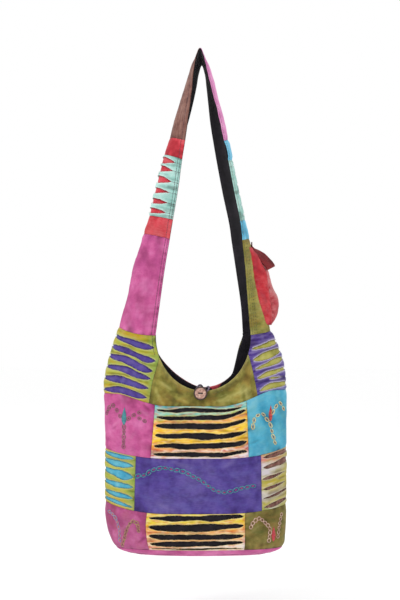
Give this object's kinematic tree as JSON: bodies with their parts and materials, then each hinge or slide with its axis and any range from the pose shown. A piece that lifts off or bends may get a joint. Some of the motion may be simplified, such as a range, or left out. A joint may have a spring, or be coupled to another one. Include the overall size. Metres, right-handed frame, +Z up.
{
  "type": "embroidered hobo bag",
  "caption": "Patchwork cotton hobo bag hanging by its wide tapered strap, with plain and slashed patches, a scooped mouth held by a button and loop, and a small open pouch on the strap.",
  "frame": {"origin": "the point that holds the bag up, under the strap at its highest place", "axes": "+Z up along the hanging bag, +X to the right seen from its front, -Y out of its front"},
  "size_m": [0.3652, 0.1024, 1.006],
  "materials": {
    "olive_cotton": "matte",
    "pink_cotton": "matte",
    "cyan_cotton": "matte",
    "purple_cotton": "matte",
    "lime_cotton": "matte",
    "red_cotton": "matte",
    "mint_cotton": "matte",
    "brown_cotton": "matte",
    "peach_tie_dye": "matte",
    "yellow_tie_dye": "matte",
    "pale_tie_dye": "matte",
    "black_cotton": "matte",
    "crimson_cotton": "matte",
    "maroon_cotton": "matte",
    "coconut_shell": "satin",
    "dark_cord": "matte"
  },
  "bodies": {
    "root": {"yoke_front": "olive_cotton", "second_left": "pink_cotton", "second_right": "cyan_cotton", "third_front": "purple_cotton", "fourth_left": "pink_cotton", "fourth_right": "olive_cotton", "yoke_back": "red_cotton", "second_back": "purple_cotton", "third_back": "olive_cotton", "fourth_back": "cyan_cotton", "shoulder_left": "lime_cotton", "shoulder_left_under": "purple_cotton", "shoulder_right": "purple_cotton", "shoulder_right_under": "olive_cotton", "second_front": "peach_tie_dye", "second_front_under": "black_cotton", "third_left": "lime_cotton", "third_left_under": "cyan_cotton", "third_right": "pale_tie_dye", "third_right_under": "brown_cotton", "fourth_front": "yellow_tie_dye", "fourth_front_under": "black_cotton", "base": "pink_cotton", "lining": "black_cotton", "strap_left_pink": "pink_cotton", "strap_left_red": "red_cotton", "strap_left_crimson": "red_cotton", "strap_left_brown": "brown_cotton", "strap_right_pink": "pink_cotton", "strap_right_sky": "cyan_cotton", "strap_right_cyan": "cyan_cotton", "strap_right_olive": "olive_cotton", "strap_left_mint": "mint_cotton", "strap_left_mint_under": "red_cotton", "strap_right_mint": "mint_cotton", "strap_right_mint_under": "cyan_cotton", "strap_lining": "black_cotton", "pouch": "crimson_cotton", "pouch_flap": "maroon_cotton", "button": "coconut_shell", "button_thread": "dark_cord", "button_loop": "dark_cord"}
  },
  "joints": []
}
